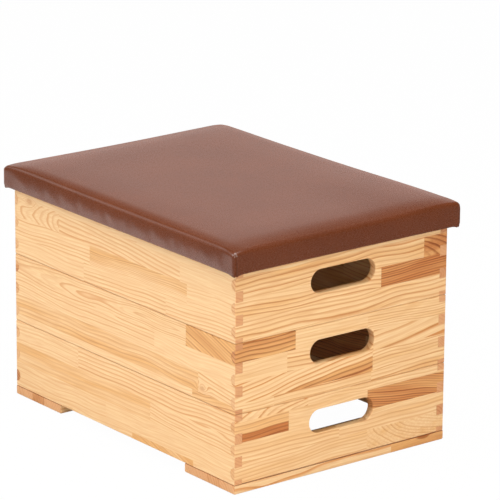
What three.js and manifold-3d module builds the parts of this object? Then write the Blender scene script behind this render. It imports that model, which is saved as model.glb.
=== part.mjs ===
// A vaulting box: three pine frames stacked on two cross planks, under a padded lid
// Sizes are in millimetres, +X runs along the box, -Y faces the front and +Z is up

import * as THREE from 'three';
import { mergeVertices } from 'three/addons/utils/BufferGeometryUtils.js';
import Module from 'manifold-3d';

// One frame: two long boards and two end boards, glued up from pine strips
const frame_length = 700;
const frame_width = 500;
const frame_height = 135;
const board_thickness = 17;
const edge_ease = 1.5;
const frame_names = ['bottom', 'middle', 'top'];

// The corner joints: half-round tongues on the end boards in notches of the long boards
const tongue_count = 3;
const tongue_depth_share = 0.7;
const lowest_tongue_share = 0.16;
const highest_tongue_share = 0.82;
const tongue_arc_steps = 6;

// The hand slot in each end board
const slot_length = 152;
const slot_height = 46;
const slot_drop = 52;
const slot_round = 2;
const slot_arc_steps = 7;
const round_steps = 3;

// The corner pegs that hold one frame on the next
const peg_side = 25;
const peg_length = 75;
const peg_reach = 10;
const peg_clearance = 1;
const peg_tip_round = 4;
const peg_round_steps = 2;

// The two planks that the bottom frame stands on
const foot_length = 150;
const foot_thickness = 18;
const foot_round = 3;

// The countersunk wood screws in the pegs and the planks
const screw_diameter = 4;
const screw_head_diameter = 8;
const screw_head_depth = 3;
const screw_tip_length = 4;
const peg_screw_bite_share = 2 / 3;
const foot_screw_bite = 22;
const screw_sides = 10;

// The lid: a batten frame under a thin panel, a foam pad and a cover with its hem folded under
const lid_overhang = 15;
const batten_height = 15;
const panel_thickness = 6;
const foam_thickness = 19;
const cover_thickness = 1.2;
const hem_width = 25;
const lid_corner_radius = 7;
const lid_edge_round = 8;
const lid_bottom_round = 1.5;

// The form of the cushion between its corners
const crown_height = 4.5;
const crown_reach = 110;
const crown_shares = [0.12, 0.3, 0.55, 1];
const edge_dip = 1.8;
const corner_drop = 3.5;
const corner_reach = 40;
const side_draw = 1.2;
const pad_side_shares = [0.5];
const cushion_corner_steps = 3;
const cushion_length_steps = 7;
const cushion_width_steps = 5;

// Clearances: between pieces that touch, round the pad, and past a face that a cut goes through
const seat_gap = 0.3;
const pad_gap = 0.6;
const cut_overrun = 2;

// Sizes worked out from those above
const inner_length = frame_length - 2 * board_thickness;
const inner_width = frame_width - 2 * board_thickness;
const tongue_radius = board_thickness * tongue_depth_share;
const lowest_tongue = frame_height * lowest_tongue_share;
const tongue_pitch = (frame_height * highest_tongue_share - lowest_tongue) / (tongue_count - 1);
const tongue_heights = [...Array(tongue_count).keys()].map((i) => lowest_tongue + i * tongue_pitch);
const frame_pitch = frame_height + seat_gap;
const stack_base = foot_thickness + seat_gap;
const slot_center_height = frame_height - slot_drop;
const peg_screw_length = peg_side + seat_gap + board_thickness * peg_screw_bite_share;
const foot_screw_length = foot_thickness + seat_gap + foot_screw_bite;
const peg_center_x = inner_length / 2 - seat_gap - peg_side / 2;
const peg_center_y = inner_width / 2 - seat_gap - peg_side / 2;
const peg_base = frame_height + peg_reach - peg_length;
const peg_screw_height = peg_base + (peg_length - peg_reach) / 2;
const lid_half_length = frame_length / 2 + lid_overhang;
const lid_half_width = frame_width / 2 + lid_overhang;
const lid_base = stack_base + frame_names.length * frame_pitch;
const batten_inset = cover_thickness + seat_gap;
const batten_base = batten_inset;
const panel_base = batten_base + batten_height + seat_gap;
const foam_base = panel_base + panel_thickness + seat_gap;
const lid_side_height = foam_base + foam_thickness + pad_gap + cover_thickness;

// The finishes
const pine = new THREE.MeshStandardMaterial({ color: 0xe8bd86, roughness: 0.55, metalness: 0 });
const foot_pine = new THREE.MeshStandardMaterial({ color: 0xdcae78, roughness: 0.6, metalness: 0 });
const plywood = new THREE.MeshStandardMaterial({ color: 0xcfa87a, roughness: 0.7, metalness: 0 });
const foam = new THREE.MeshStandardMaterial({ color: 0xd9cf9a, roughness: 0.95, metalness: 0 });
const leatherette = new THREE.MeshStandardMaterial({ color: 0x74452f, roughness: 0.45, metalness: 0 });
const zinc = new THREE.MeshStandardMaterial({ color: 0xb9b7ae, roughness: 0.35, metalness: 0.9 });

const wasm = await Module();
wasm.setup();

// A closed geometry as a solid that can be joined and cut
function solid_of(geometry) {
  const bare = geometry.clone();
  bare.deleteAttribute('normal');
  bare.deleteAttribute('uv');
  const merged = mergeVertices(bare);
  return new wasm.Manifold(new wasm.Mesh({
    numProp: 3,
    vertProperties: new Float32Array(merged.attributes.position.array),
    triVerts: new Uint32Array(merged.index.array),
  }));
}

// A solid back as a geometry
function geometry_of(solid) {
  const mesh = solid.getMesh();
  const geometry = new THREE.BufferGeometry();
  geometry.setAttribute('position', new THREE.BufferAttribute(mesh.vertProperties, 3));
  geometry.setIndex(new THREE.BufferAttribute(mesh.triVerts, 1));
  geometry.computeVertexNormals();
  return geometry;
}

// A closed geometry through rings of equally many points, with a fan over the first and the last
function lofted(rings) {
  const count = rings[0].length;
  const points = rings.flat();
  const faces = [];
  for (let i = 0; i + 1 < rings.length; i += 1) {
    for (let j = 0; j < count; j += 1) {
      const a = i * count + j;
      const b = i * count + ((j + 1) % count);
      faces.push(a, b, b + count, a, b + count, a + count);
    }
  }
  for (const ring of [rings[0], rings.at(-1)]) {
    const first = ring === rings[0];
    const start = first ? 0 : points.length - 1 - count;
    const center = new THREE.Vector3();
    ring.forEach((point) => center.add(point));
    const hub = points.push(center.divideScalar(count)) - 1;
    for (let j = 0; j < count; j += 1) {
      const next = (j + 1) % count;
      faces.push(hub, start + (first ? next : j), start + (first ? j : next));
    }
  }
  const geometry = new THREE.BufferGeometry().setFromPoints(points);
  geometry.setIndex(faces);
  geometry.computeVertexNormals();
  return geometry;
}

// A level rounded rectangle about the Z axis, as points that run counter-clockwise from +X
function rounded_ring(half_x, half_y, radius, height, corner_steps = 1, steps_x = 1, steps_y = 1) {
  const corners = [[1, 1], [-1, 1], [-1, -1], [1, -1]];
  const points = [];
  corners.forEach(([side_x, side_y], quarter) => {
    const center_x = side_x * (half_x - radius);
    const center_y = side_y * (half_y - radius);
    for (let i = 0; i <= corner_steps; i += 1) {
      const angle = (quarter + i / corner_steps) * Math.PI / 2;
      const x = center_x + radius * Math.cos(angle);
      const y = center_y + radius * Math.sin(angle);
      points.push(new THREE.Vector3(x, y, height));
    }
    const along_x = quarter % 2 === 0;
    const steps = along_x ? steps_x : steps_y;
    const has_side = along_x ? half_x > radius : half_y > radius;
    const from = has_side ? points.at(-1) : points.pop();
    const to = along_x
      ? new THREE.Vector3(-from.x, from.y, height)
      : new THREE.Vector3(from.x, -from.y, height);
    for (let i = 1; has_side && i < steps; i += 1) {
      points.push(from.clone().lerp(to, i / steps));
    }
  });
  return points;
}

// A block with its middle at the given place
function block(size_x, size_y, size_z, x, y, z) {
  return new THREE.BoxGeometry(size_x, size_y, size_z).translate(x, y, z);
}

// A countersunk screw along +Z, grown by a clearance, with the head's flat face at the origin
function turned_screw(length, clearance, overrun) {
  const shank = screw_diameter / 2 + clearance;
  const head = screw_head_diameter / 2 + clearance;
  const profile = [
    [0, -length - clearance],
    [shank, screw_tip_length - length - clearance],
    [shank, -screw_head_depth],
    [head, 0],
  ];
  if (overrun > 0) profile.push([head, overrun]);
  profile.push([0, overrun]);
  const outline = profile.map(([radius, height]) => new THREE.Vector2(radius, height));
  return new THREE.LatheGeometry(outline, screw_sides).rotateX(Math.PI / 2);
}

function screw_geometry(length) {
  return turned_screw(length, 0, 0);
}

function screw_hole_geometry(length) {
  return turned_screw(length, seat_gap, cut_overrun);
}

// What is left of a frame's outer edges once they are eased
function eased_block() {
  const half_x = frame_length / 2;
  const half_y = frame_width / 2;
  const level = (inset, height) => rounded_ring(half_x - inset, half_y - inset, edge_ease, height);
  return solid_of(lofted([
    level(edge_ease, 0),
    level(0, edge_ease),
    level(0, frame_height - edge_ease),
    level(edge_ease, frame_height),
  ]));
}

// The flare that eases a frame's inner edge, for its upper side or its lower side
function inner_flare(upper) {
  const level = (grow, height) => rounded_ring(
    inner_length / 2 + grow,
    inner_width / 2 + grow,
    edge_ease,
    upper ? height : frame_height - height,
  );
  const rings = [
    level(0, frame_height - edge_ease),
    level(edge_ease, frame_height),
    level(edge_ease, frame_height + cut_overrun),
  ];
  return solid_of(lofted(upper ? rings : rings.reverse()));
}

const outer_edges = eased_block();
const upper_flare = inner_flare(true);
const lower_flare = inner_flare(false);

function eased(solid) {
  return solid.intersect(outer_edges).subtract(upper_flare).subtract(lower_flare);
}

// The long board's outline from the front, with its notches at both ends
function long_board_outline() {
  const half = frame_length / 2;
  const radius = tongue_radius + seat_gap;
  const outline = new THREE.Shape();
  outline.moveTo(-half, 0);
  outline.lineTo(half, 0);
  for (const height of tongue_heights) {
    outline.absarc(half, height, radius, -Math.PI / 2, Math.PI / 2, true);
  }
  outline.lineTo(half, frame_height);
  outline.lineTo(-half, frame_height);
  for (const height of [...tongue_heights].reverse()) {
    outline.absarc(-half, height, radius, Math.PI / 2, -Math.PI / 2, true);
  }
  return outline;
}

// The screws of the front pegs, head inwards, in the frame's own axes
function peg_screw_places() {
  const head_y = peg_side / 2 - peg_center_y;
  return [-1, 1].map((side) => new THREE.Vector3(side * peg_center_x, head_y, peg_screw_height));
}

// The screws under one end's plank: one in each long board and two in the end board
const foot_screw_x = frame_length / 2 - foot_length * 2 / 3;
const foot_screw_y = frame_width / 2 - board_thickness / 2;
const foot_end_screw_x = frame_length / 2 - board_thickness / 2;
const foot_end_screw_y = inner_width / 4;
const foot_screw_places = [
  [foot_screw_x, -foot_screw_y],
  [foot_screw_x, foot_screw_y],
  [foot_end_screw_x, -foot_end_screw_y],
  [foot_end_screw_x, foot_end_screw_y],
];

// The blind holes that the screws through the planks make in the bottom frame's boards
function foot_screw_holes(solid) {
  const hole = screw_hole_geometry(foot_screw_length);
  let left = solid;
  for (const side of [-1, 1]) {
    for (const [x, y] of foot_screw_places) {
      const placed = hole.clone().rotateX(Math.PI).translate(side * x, y, -stack_base);
      left = left.subtract(solid_of(placed));
    }
  }
  return left;
}

function long_board(stands_on_planks) {
  const seat_y = (board_thickness - frame_width) / 2;
  const sawn = new THREE.ExtrudeGeometry(long_board_outline(), {
    depth: board_thickness,
    bevelEnabled: false,
    curveSegments: tongue_arc_steps,
  });
  sawn.rotateX(Math.PI / 2).translate(0, board_thickness / 2 + seat_y, 0);
  let solid = eased(solid_of(sawn));
  for (const place of peg_screw_places()) {
    const hole = screw_hole_geometry(peg_screw_length).rotateX(-Math.PI / 2);
    solid = solid.subtract(solid_of(hole.translate(place.x, place.y, place.z)));
  }
  if (stands_on_planks) solid = foot_screw_holes(solid);
  return geometry_of(solid).translate(0, -seat_y, 0);
}

// The hand slot's cutter, with its edges rounded over on both faces
function slot_cutter() {
  const round = Math.min(slot_round, board_thickness / 2);
  const section = (grow, x) => {
    const radius = slot_height / 2 + grow;
    return rounded_ring(slot_length / 2 + grow, radius, radius, x, slot_arc_steps);
  };
  const outward = [];
  for (let i = 0; i <= round_steps; i += 1) {
    const angle = (i / round_steps) * Math.PI / 2;
    const depth = round * (1 - Math.sin(angle));
    outward.push(section(round * (1 - Math.cos(angle)), board_thickness / 2 - depth));
  }
  outward.push(section(round, board_thickness / 2 + cut_overrun));
  const inward = outward.map((ring) => ring.map((point) => point.clone().setZ(-point.z))).reverse();
  const cutter = lofted([...inward, ...outward]);
  cutter.rotateZ(Math.PI / 2).rotateY(Math.PI / 2);
  return cutter.translate(0, 0, slot_center_height);
}

function end_board(stands_on_planks) {
  const seat_x = (frame_length - board_thickness) / 2;
  const width = inner_width - 2 * seat_gap;
  let solid = solid_of(block(board_thickness, width, frame_height, seat_x, 0, frame_height / 2));
  for (const height of tongue_heights) {
    const section = new THREE.Shape();
    section.absarc(0, 0, tongue_radius, Math.PI / 2, Math.PI * 3 / 2, false);
    const rod = new THREE.ExtrudeGeometry(section, {
      depth: frame_width,
      bevelEnabled: false,
      curveSegments: tongue_arc_steps,
    });
    rod.rotateX(Math.PI / 2).translate(frame_length / 2, frame_width / 2, height);
    solid = solid.add(solid_of(rod));
  }
  solid = solid.subtract(solid_of(slot_cutter().translate(seat_x, 0, 0)));
  solid = eased(solid);
  if (stands_on_planks) solid = foot_screw_holes(solid);
  return geometry_of(solid).translate(-seat_x, 0, 0);
}

// A front corner peg: a square block with a narrower, rounded tip above the frame
function corner_peg() {
  const half = peg_side / 2;
  const round = Math.min(peg_tip_round, peg_reach / 2);
  const level = (inset, height) => rounded_ring(
    half - inset,
    half - inset,
    round,
    height,
    peg_round_steps,
  );
  const rings = [
    level(0, 0),
    level(0, peg_length - peg_reach),
    level(peg_clearance, peg_length - peg_reach + peg_clearance),
  ];
  for (let i = 0; i <= peg_round_steps; i += 1) {
    const angle = (i / peg_round_steps) * Math.PI / 2;
    const drawn_in = (round - peg_clearance) * (1 - Math.cos(angle));
    rings.push(level(peg_clearance + drawn_in, peg_length - round * (1 - Math.sin(angle))));
  }
  const hole = screw_hole_geometry(peg_screw_length).rotateX(-Math.PI / 2);
  hole.translate(0, half, peg_screw_height - peg_base);
  return geometry_of(solid_of(lofted(rings)).subtract(solid_of(hole)));
}

// A plank, with its lower edges rounded and its upper edges eased
function foot_plank() {
  const half_x = foot_length / 2;
  const half_y = frame_width / 2;
  const ease = Math.min(edge_ease, foot_thickness / 3);
  const round = Math.min(foot_round, foot_thickness / 3);
  const level = (inset, height) => rounded_ring(half_x - inset, half_y - inset, ease, height);
  const rings = [];
  for (let i = 0; i <= round_steps; i += 1) {
    const angle = (i / round_steps) * Math.PI / 2;
    rings.push(level(round * (1 - Math.sin(angle)), round * (1 - Math.cos(angle))));
  }
  rings.push(level(0, foot_thickness - ease), level(ease, foot_thickness));
  let solid = solid_of(lofted(rings));
  const hole = screw_hole_geometry(foot_screw_length).rotateX(Math.PI);
  for (const [x, y] of foot_screw_places) {
    const along = x - (frame_length - foot_length) / 2;
    solid = solid.subtract(solid_of(hole.clone().translate(along, y, 0)));
  }
  return geometry_of(solid);
}

// How far the cushion rises at a distance from an edge, from 0 at the edge to 1
function crown_share(distance) {
  return 1 - (1 - Math.min(1, distance / crown_reach)) ** 2;
}

// How much of an edge's or a corner's own shape is felt at a distance from it, from 1 at the edge
function near_share(distance) {
  return Math.max(0, 1 - distance / corner_reach) ** 2;
}

// How much of a side's own shape is felt along it, from 1 at its middle to 0 at its ends
function middle_share(place, half) {
  return (1 - Math.min(1, Math.abs(place / half)) ** 2) ** 2;
}

// The rise of the cushion's top over its plain edge
function cushion_rise(point) {
  const to_end = lid_half_length - Math.abs(point.x);
  const to_side = lid_half_width - Math.abs(point.y);
  const end_crown = crown_share(to_end);
  const side_crown = crown_share(to_side);
  const dip = (1 - end_crown) * middle_share(point.y, lid_half_width)
    + (1 - side_crown) * middle_share(point.x, lid_half_length);
  return crown_height * end_crown * side_crown
    - edge_dip * dip
    - corner_drop * near_share(to_end) * near_share(to_side);
}

// One ring of the cushion; lift says how much of the top's rise it takes, draw how far it is drawn in
function cushion_ring(inset, height, lift, draw) {
  const ring = rounded_ring(
    lid_half_length - inset,
    lid_half_width - inset,
    Math.max(lid_corner_radius - inset, lid_corner_radius / 4),
    height,
    cushion_corner_steps,
    cushion_length_steps,
    cushion_width_steps,
  );
  for (const point of ring) {
    const end_pull = middle_share(point.y, lid_half_width) * near_share(lid_half_length - Math.abs(point.x));
    const side_pull = middle_share(point.x, lid_half_length) * near_share(lid_half_width - Math.abs(point.y));
    point.z += lift * cushion_rise(point);
    point.x -= Math.sign(point.x) * draw * side_draw * end_pull;
    point.y -= Math.sign(point.y) * draw * side_draw * side_pull;
  }
  return ring;
}

// The rings of the cushion's sides and top from a base height up, moved in by a skin
function cushion_rings(base, skin) {
  const top = lid_side_height - skin;
  const round = lid_edge_round - skin;
  const rings = [cushion_ring(skin, foam_base, 0, 0)];
  if (base < foam_base) rings.unshift(cushion_ring(skin, base, 0, 0));
  for (const share of pad_side_shares) {
    const height = foam_base + share * (top - round - foam_base);
    rings.push(cushion_ring(skin, height, share ** 2, Math.sin(Math.PI * share)));
  }
  for (let i = 0; i <= round_steps; i += 1) {
    const angle = (i / round_steps) * Math.PI / 2;
    const inset = skin + round * (1 - Math.cos(angle));
    rings.push(cushion_ring(inset, top - round * (1 - Math.sin(angle)), 1, 0));
  }
  for (const share of crown_shares) {
    const inset = lid_edge_round + share * (crown_reach - lid_edge_round);
    rings.push(cushion_ring(inset, top, 1, 0));
  }
  return rings;
}

// The cover: the cushion's outside, its inside, and the hem between them under the battens
function lid_cover() {
  const inside = cushion_rings(cover_thickness, cover_thickness).reverse();
  const outside = cushion_rings(lid_bottom_round, 0);
  const hem = [
    cushion_ring(hem_width, cover_thickness, 0, 0),
    cushion_ring(hem_width, 0, 0, 0),
    cushion_ring(lid_bottom_round, 0, 0, 0),
  ];
  return lofted([...inside, ...hem, ...outside]);
}

function foam_pad() {
  return lofted(cushion_rings(foam_base, cover_thickness + pad_gap));
}

// A named piece in its place
function piece(name, geometry, material, x, y, z, turn = 0) {
  const mesh = new THREE.Mesh(geometry, material);
  mesh.name = name;
  mesh.position.set(x, y, z);
  mesh.rotation.z = turn;
  return mesh;
}

// A frame: its four boards, and its four pegs with their screws
function frame(name, stands_on_planks) {
  const group = new THREE.Group();
  const long_geometry = long_board(stands_on_planks);
  const end_geometry = end_board(stands_on_planks);
  const peg_geometry = corner_peg();
  const screw = screw_geometry(peg_screw_length).rotateX(-Math.PI / 2);
  const long_y = (frame_width - board_thickness) / 2;
  const end_x = (frame_length - board_thickness) / 2;
  group.add(
    piece(`${name}_long_board_front`, long_geometry, pine, 0, -long_y, 0),
    piece(`${name}_long_board_rear`, long_geometry, pine, 0, long_y, 0, Math.PI),
    piece(`${name}_end_board_right`, end_geometry, pine, end_x, 0, 0),
    piece(`${name}_end_board_left`, end_geometry, pine, -end_x, 0, 0, Math.PI),
  );
  const sides = [['front', -1], ['rear', 1]];
  const ends = [['left', -1], ['right', 1]];
  for (const [side_name, side] of sides) {
    const turn = side > 0 ? Math.PI : 0;
    for (const [end_name, end] of ends) {
      const corner = `${side_name}_${end_name}`;
      const x = end * peg_center_x;
      const head_y = side * (peg_center_y - peg_side / 2);
      group.add(
        piece(`${name}_peg_${corner}`, peg_geometry, pine, x, side * peg_center_y, peg_base, turn),
        piece(`${name}_peg_screw_${corner}`, screw, zinc, x, head_y, peg_screw_height, turn),
      );
    }
  }
  return group;
}

// The planks under both ends, with their screws, heads down
function feet() {
  const group = new THREE.Group();
  const plank = foot_plank();
  const screw = screw_geometry(foot_screw_length).rotateX(Math.PI);
  const plank_x = (frame_length - foot_length) / 2;
  for (const [name, side] of [['left', -1], ['right', 1]]) {
    const turn = side < 0 ? Math.PI : 0;
    group.add(piece(`foot_plank_${name}`, plank, foot_pine, side * plank_x, 0, 0, turn));
    foot_screw_places.forEach(([x, y], i) => {
      group.add(piece(`foot_screw_${name}_${i + 1}`, screw, zinc, side * x, y, 0));
    });
  }
  return group;
}

// The lid, about the underside of its hem
function lid() {
  const group = new THREE.Group();
  const half_x = lid_half_length - batten_inset;
  const half_y = lid_half_width - batten_inset;
  const width_x = half_x - inner_length / 2;
  const width_y = half_y - inner_width / 2;
  const short_length = inner_width - 2 * seat_gap;
  const radius = lid_corner_radius - batten_inset;
  const plate = (height) => lofted([0, height].map((level) => (
    rounded_ring(half_x, half_y, radius, level, cushion_corner_steps))));
  const front_half = block(2 * half_x, width_y, 2 * batten_height, 0, width_y / 2 - half_y, 0);
  const long_batten = geometry_of(solid_of(plate(batten_height)).intersect(solid_of(front_half)));
  const short_batten = block(width_x, short_length, batten_height, 0, 0, batten_height / 2);
  const short_x = half_x - width_x / 2;
  group.add(
    piece('lid_batten_front', long_batten, pine, 0, 0, batten_base),
    piece('lid_batten_rear', long_batten, pine, 0, 0, batten_base, Math.PI),
    piece('lid_batten_left', short_batten, pine, -short_x, 0, batten_base),
    piece('lid_batten_right', short_batten, pine, short_x, 0, batten_base),
    piece('lid_panel', plate(panel_thickness), plywood, 0, 0, panel_base),
    piece('lid_foam_pad', foam_pad(), foam, 0, 0, 0),
    piece('lid_cover', lid_cover(), leatherette, 0, 0, 0),
  );
  return group;
}

const vaulting_box = new THREE.Group();
vaulting_box.add(feet());
frame_names.forEach((name, level) => {
  const stacked = frame(`${name}_frame`, level === 0);
  stacked.position.z = stack_base + level * frame_pitch;
  vaulting_box.add(stacked);
});
const padded_lid = lid();
padded_lid.position.z = lid_base;
vaulting_box.add(padded_lid);

export default vaulting_box;
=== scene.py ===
import math
import random
from bisect import bisect

import bmesh
import bpy
from mathutils import Matrix, Vector


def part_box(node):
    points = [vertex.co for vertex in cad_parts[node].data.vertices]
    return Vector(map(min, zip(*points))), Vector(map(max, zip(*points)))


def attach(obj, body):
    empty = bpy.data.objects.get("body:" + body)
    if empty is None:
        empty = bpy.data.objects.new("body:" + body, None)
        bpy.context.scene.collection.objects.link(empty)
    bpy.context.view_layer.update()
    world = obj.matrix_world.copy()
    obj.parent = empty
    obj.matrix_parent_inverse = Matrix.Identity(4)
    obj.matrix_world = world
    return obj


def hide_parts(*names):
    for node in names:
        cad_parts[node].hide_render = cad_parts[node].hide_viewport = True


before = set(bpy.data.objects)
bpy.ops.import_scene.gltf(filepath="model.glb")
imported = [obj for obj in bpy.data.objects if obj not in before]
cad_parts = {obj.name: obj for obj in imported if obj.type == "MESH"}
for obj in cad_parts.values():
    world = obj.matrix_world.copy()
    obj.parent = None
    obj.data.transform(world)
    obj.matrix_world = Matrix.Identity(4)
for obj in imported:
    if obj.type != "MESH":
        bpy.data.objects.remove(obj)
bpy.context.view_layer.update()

# The two cross planks that the bottom frame stands on, one under each end of the box.
# Each is glued up from strips of pine that run across the box, then planed, its lower edges
# rounded, its upper edges eased, and its screw holes sunk from below.
X, Y, Z = 0, 1, 2
upward = Vector((0.0, 0.0, 1.0))
strip_width = 0.0393
plank_round = 0.003
edge_ease = 0.0018
plank_ease = 0.0009
# Share of glue and painted shade, a dark red-brown on the eased edges, at the joint of plank and bottom
# frame.
dark_glue_and_shade = 0.7
foot_ease = 0.0015
round_segments = 3
screw_head_radius = 0.004
screw_shank_radius = 0.002
screw_head_depth = 0.003
screw_clearance = 0.0003
hole_segments = 24

# How a strip was sawn from its log: where the pith lies from the strip's middle, across the
# strip and through the board, how it climbs and leans along the strip, the width of a year's
# ring, how dark the wood is, how strong its lines are, and how far its heartwood reaches.
quiet = dict(pith=(0.062, 0.030), climb=0.01, lean=0.0, ring=0.0060, tone=0.06, contrast=0.50, heart=0.0)
lined = dict(pith=(-0.075, -0.020), climb=0.02, lean=0.0, ring=0.0072, tone=0.08, contrast=0.85, heart=0.0)
fine = dict(pith=(0.050, 0.045), climb=-0.015, lean=0.0, ring=0.0040, tone=0.08, contrast=0.75, heart=0.0)
arched = dict(pith=(0.002, -0.030), climb=0.01, lean=0.12, ring=0.0030, tone=0.06, contrast=0.75, heart=0.0)
striped = dict(pith=(-0.070, 0.012), climb=0.03, lean=0.0, ring=0.0048, tone=0.58, contrast=1.0, heart=0.0)
amber = dict(pith=(-0.058, -0.020), climb=0.015, lean=0.0, ring=0.0075, tone=0.40, contrast=1.0, heart=0.0)

# How the wood of a log varies: how far its pith wanders, how much its rings waver, how they swell
# round a knot, how much darker the heart and the cloudy patches are, and how far each pattern is
# stretched along the grain, across it and through the board.
pith_wander = 0.022
ring_waver = 0.008
waver_scale = (7.0, 28.0, 28.0)
knot_squash = 0.62
knot_fading = 0.45
knot_swell = 3.2
heart_tone = 0.50
patch_tone = 0.60
patch_scale = (4.0, 60.0, 60.0)
fibre_scale = (14.0, 420.0, 420.0)


def linear(red, green, blue):
    """A colour from 0 to 255 a channel, as the shaders want it."""
    return tuple((channel / 255) ** 2.2 for channel in (red, green, blue)) + (1.0,)


class Field:
    """A value or a colour that varies over a surface: one output of a shader's nodes."""

    def __init__(self, socket):
        self.socket = socket
        self.tree = socket.id_data

    def calc(self, operation, *others):
        node = self.tree.nodes.new("ShaderNodeMath")
        node.operation = operation
        return filled(node, dict(enumerate((self, *others))))

    def __add__(self, other):
        return self.calc("ADD", other)

    def __sub__(self, other):
        return self.calc("SUBTRACT", other)

    def __mul__(self, other):
        return self.calc("MULTIPLY", other)

    def __truediv__(self, other):
        return self.calc("DIVIDE", other)

    def __pow__(self, other):
        return self.calc("POWER", other)


def filled(node, inputs, output=0):
    """Sets a node's inputs to plain values or links them to fields, and gives one of its outputs."""
    for name, value in inputs.items():
        if isinstance(value, Field):
            node.id_data.links.new(value.socket, node.inputs[name])
        else:
            node.inputs[name].default_value = value
    return Field(node.outputs[output])


def vector_calc(operation, vector, other):
    node = vector.tree.nodes.new("ShaderNodeVectorMath")
    node.operation = operation
    return filled(node, {0: vector, 1: other})


def ramp(value, low, high, to_low=0.0, to_high=1.0):
    """A value that goes smoothly from one level to another while the input goes from low to high."""
    node = value.tree.nodes.new("ShaderNodeMapRange")
    node.interpolation_type = "SMOOTHSTEP"
    levels = {"From Min": low, "From Max": high, "To Min": to_low, "To Max": to_high}
    return filled(node, {"Value": value, **levels})


def blended(share, first, second):
    """Two colours mixed by a share."""
    node = share.tree.nodes.new("ShaderNodeMix")
    node.data_type = "RGBA"
    return filled(node, {0: share, 6: first, 7: second}, 2)


def cloudy(vector, scale, detail=2.0, roughness=0.5, output="Fac"):
    """A soft random field, as a value about 0.5 or as a colour."""
    node = vector.tree.nodes.new("ShaderNodeTexNoise")
    inputs = {"Vector": vector, "Scale": scale, "Detail": detail, "Roughness": roughness}
    return filled(node, inputs, output)


def attribute(tree, name, output):
    node = tree.nodes.new("ShaderNodeAttribute")
    node.attribute_name = name
    return Field(node.outputs[output])


def split(vector):
    """The three parts of a vector or a colour."""
    node = vector.tree.nodes.new("ShaderNodeSeparateXYZ")
    filled(node, {0: vector})
    return [Field(socket) for socket in node.outputs]


def joined(*parts):
    """A vector of three parts, of which the first is a field."""
    return filled(parts[0].tree.nodes.new("ShaderNodeCombineXYZ"), dict(enumerate(parts)))


def shader(name):
    """An empty material with its Principled shader."""
    material = bpy.data.materials.new(name)
    material.use_nodes = True
    return material, material.node_tree, material.node_tree.nodes["Principled BSDF"]


def relief(surface, height, distance, strength):
    """Gives a surface its small relief."""
    node = height.tree.nodes.new("ShaderNodeBump")
    bump = filled(node, {"Height": height, "Distance": distance, "Strength": strength})
    filled(surface, {"Normal": bump})


def pine(name):
    """Varnished pine, whose rings follow the place of each strip in its log."""
    material, tree, surface = shader(name)
    along, across, through = split(attribute(tree, "grain", "Vector"))
    tone, contrast, ring_share = split(attribute(tree, "look", "Vector"))
    knot_along, knot_across, _ = split(attribute(tree, "knot", "Vector"))

    # The pith wanders along the log, and the rings waver a little
    sway_across, sway_through, _ = split(cloudy(joined(along, 0.0, 0.0), 5.0, 1.0, output="Color"))
    across += (sway_across - 0.5) * pith_wander
    through += (sway_through - 0.5) * pith_wander
    place = joined(along, across, through)
    waver = cloudy(vector_calc("MULTIPLY", place, waver_scale), 1.0) - 0.5
    radius = (across ** 2.0 + through ** 2.0).calc("SQRT") + waver * ring_waver

    # The rings swell round a knot, and each year's late wood is a line of its own strength
    knot_reach = ((knot_along * knot_squash) ** 2.0 + knot_across ** 2.0).calc("SQRT")
    swell = (knot_reach ** 2.0 * -knot_fading).calc("EXPONENT")
    rings = radius / ring_share + swell * knot_swell
    season = rings.calc("FRACT")
    luck = tree.nodes.new("ShaderNodeTexWhiteNoise")
    luck.noise_dimensions = "1D"
    strength = ramp(filled(luck, {"W": rings.calc("FLOOR")}), 0.0, 1.0, 0.30, 1.15)
    late = ramp(season, 0.42, 0.86) * ramp(season, 0.92, 1.0, 1.0, 0.0) * strength

    # Fibres along the grain, and soft cloudiness
    fibre = cloudy(vector_calc("MULTIPLY", place, fibre_scale), 1.0)
    patch = cloudy(vector_calc("MULTIPLY", place, patch_scale), 1.0) - 0.5
    in_heart = ramp(attribute(tree, "look", "Alpha") - radius, -0.001, 0.001) * heart_tone
    # The tone carries each strip's own darkness, and also the painted shade of the end sides and of the faces
    # inside the box.
    darkness = ramp(tone + in_heart + patch * patch_tone, 0.0, 1.0)

    mellow_wood = blended(ramp(darkness, 0.0, 0.5), linear(250, 211, 158), linear(241, 184, 116))
    early_wood = blended(ramp(darkness, 0.42, 1.0), mellow_wood, linear(206, 126, 66))
    late_wood = blended(darkness, linear(219, 143, 76), linear(142, 70, 30))
    line = late * contrast * ramp(fibre, 0.30, 0.62, 0.78, 1.0)
    wood = blended(line, early_wood, late_wood)
    wood = blended(ramp(fibre, 0.30, 0.70, 0.26, 0.0), wood, late_wood)
    wood = blended(ramp(knot_reach, 0.4, 1.0, 0.5, 0.0), wood, linear(206, 138, 84))
    end_early = blended(darkness, linear(224, 163, 113), linear(198, 128, 80))
    end_late = blended(darkness, linear(214, 146, 98), linear(176, 104, 60))
    wood = blended(attribute(tree, "end_grain", "Fac"), wood, blended(late, end_early, end_late))
    # Glue and painted shade: the eased edges at a joint turn dark red-brown, where glue lies and where the
    # groove between two parts is in shade.
    wood = blended(attribute(tree, "glue_and_shade", "Fac"), wood, linear(146, 74, 38))
    gloss = ramp(late, 0.0, 1.0, 0.50, 0.40)
    filled(surface, {"Base Color": wood, "Roughness": gloss, "Specular IOR Level": 0.5})
    relief(surface, late * 0.6 + fibre * 0.4, 0.00012, 0.6)
    return material


def corners(bm):
    """The lowest and highest corner of a shape that is being made."""
    places = [vert.co for vert in bm.verts]
    return (Vector([min(place[axis] for place in places) for axis in range(3)]),
            Vector([max(place[axis] for place in places) for axis in range(3)]))


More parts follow.
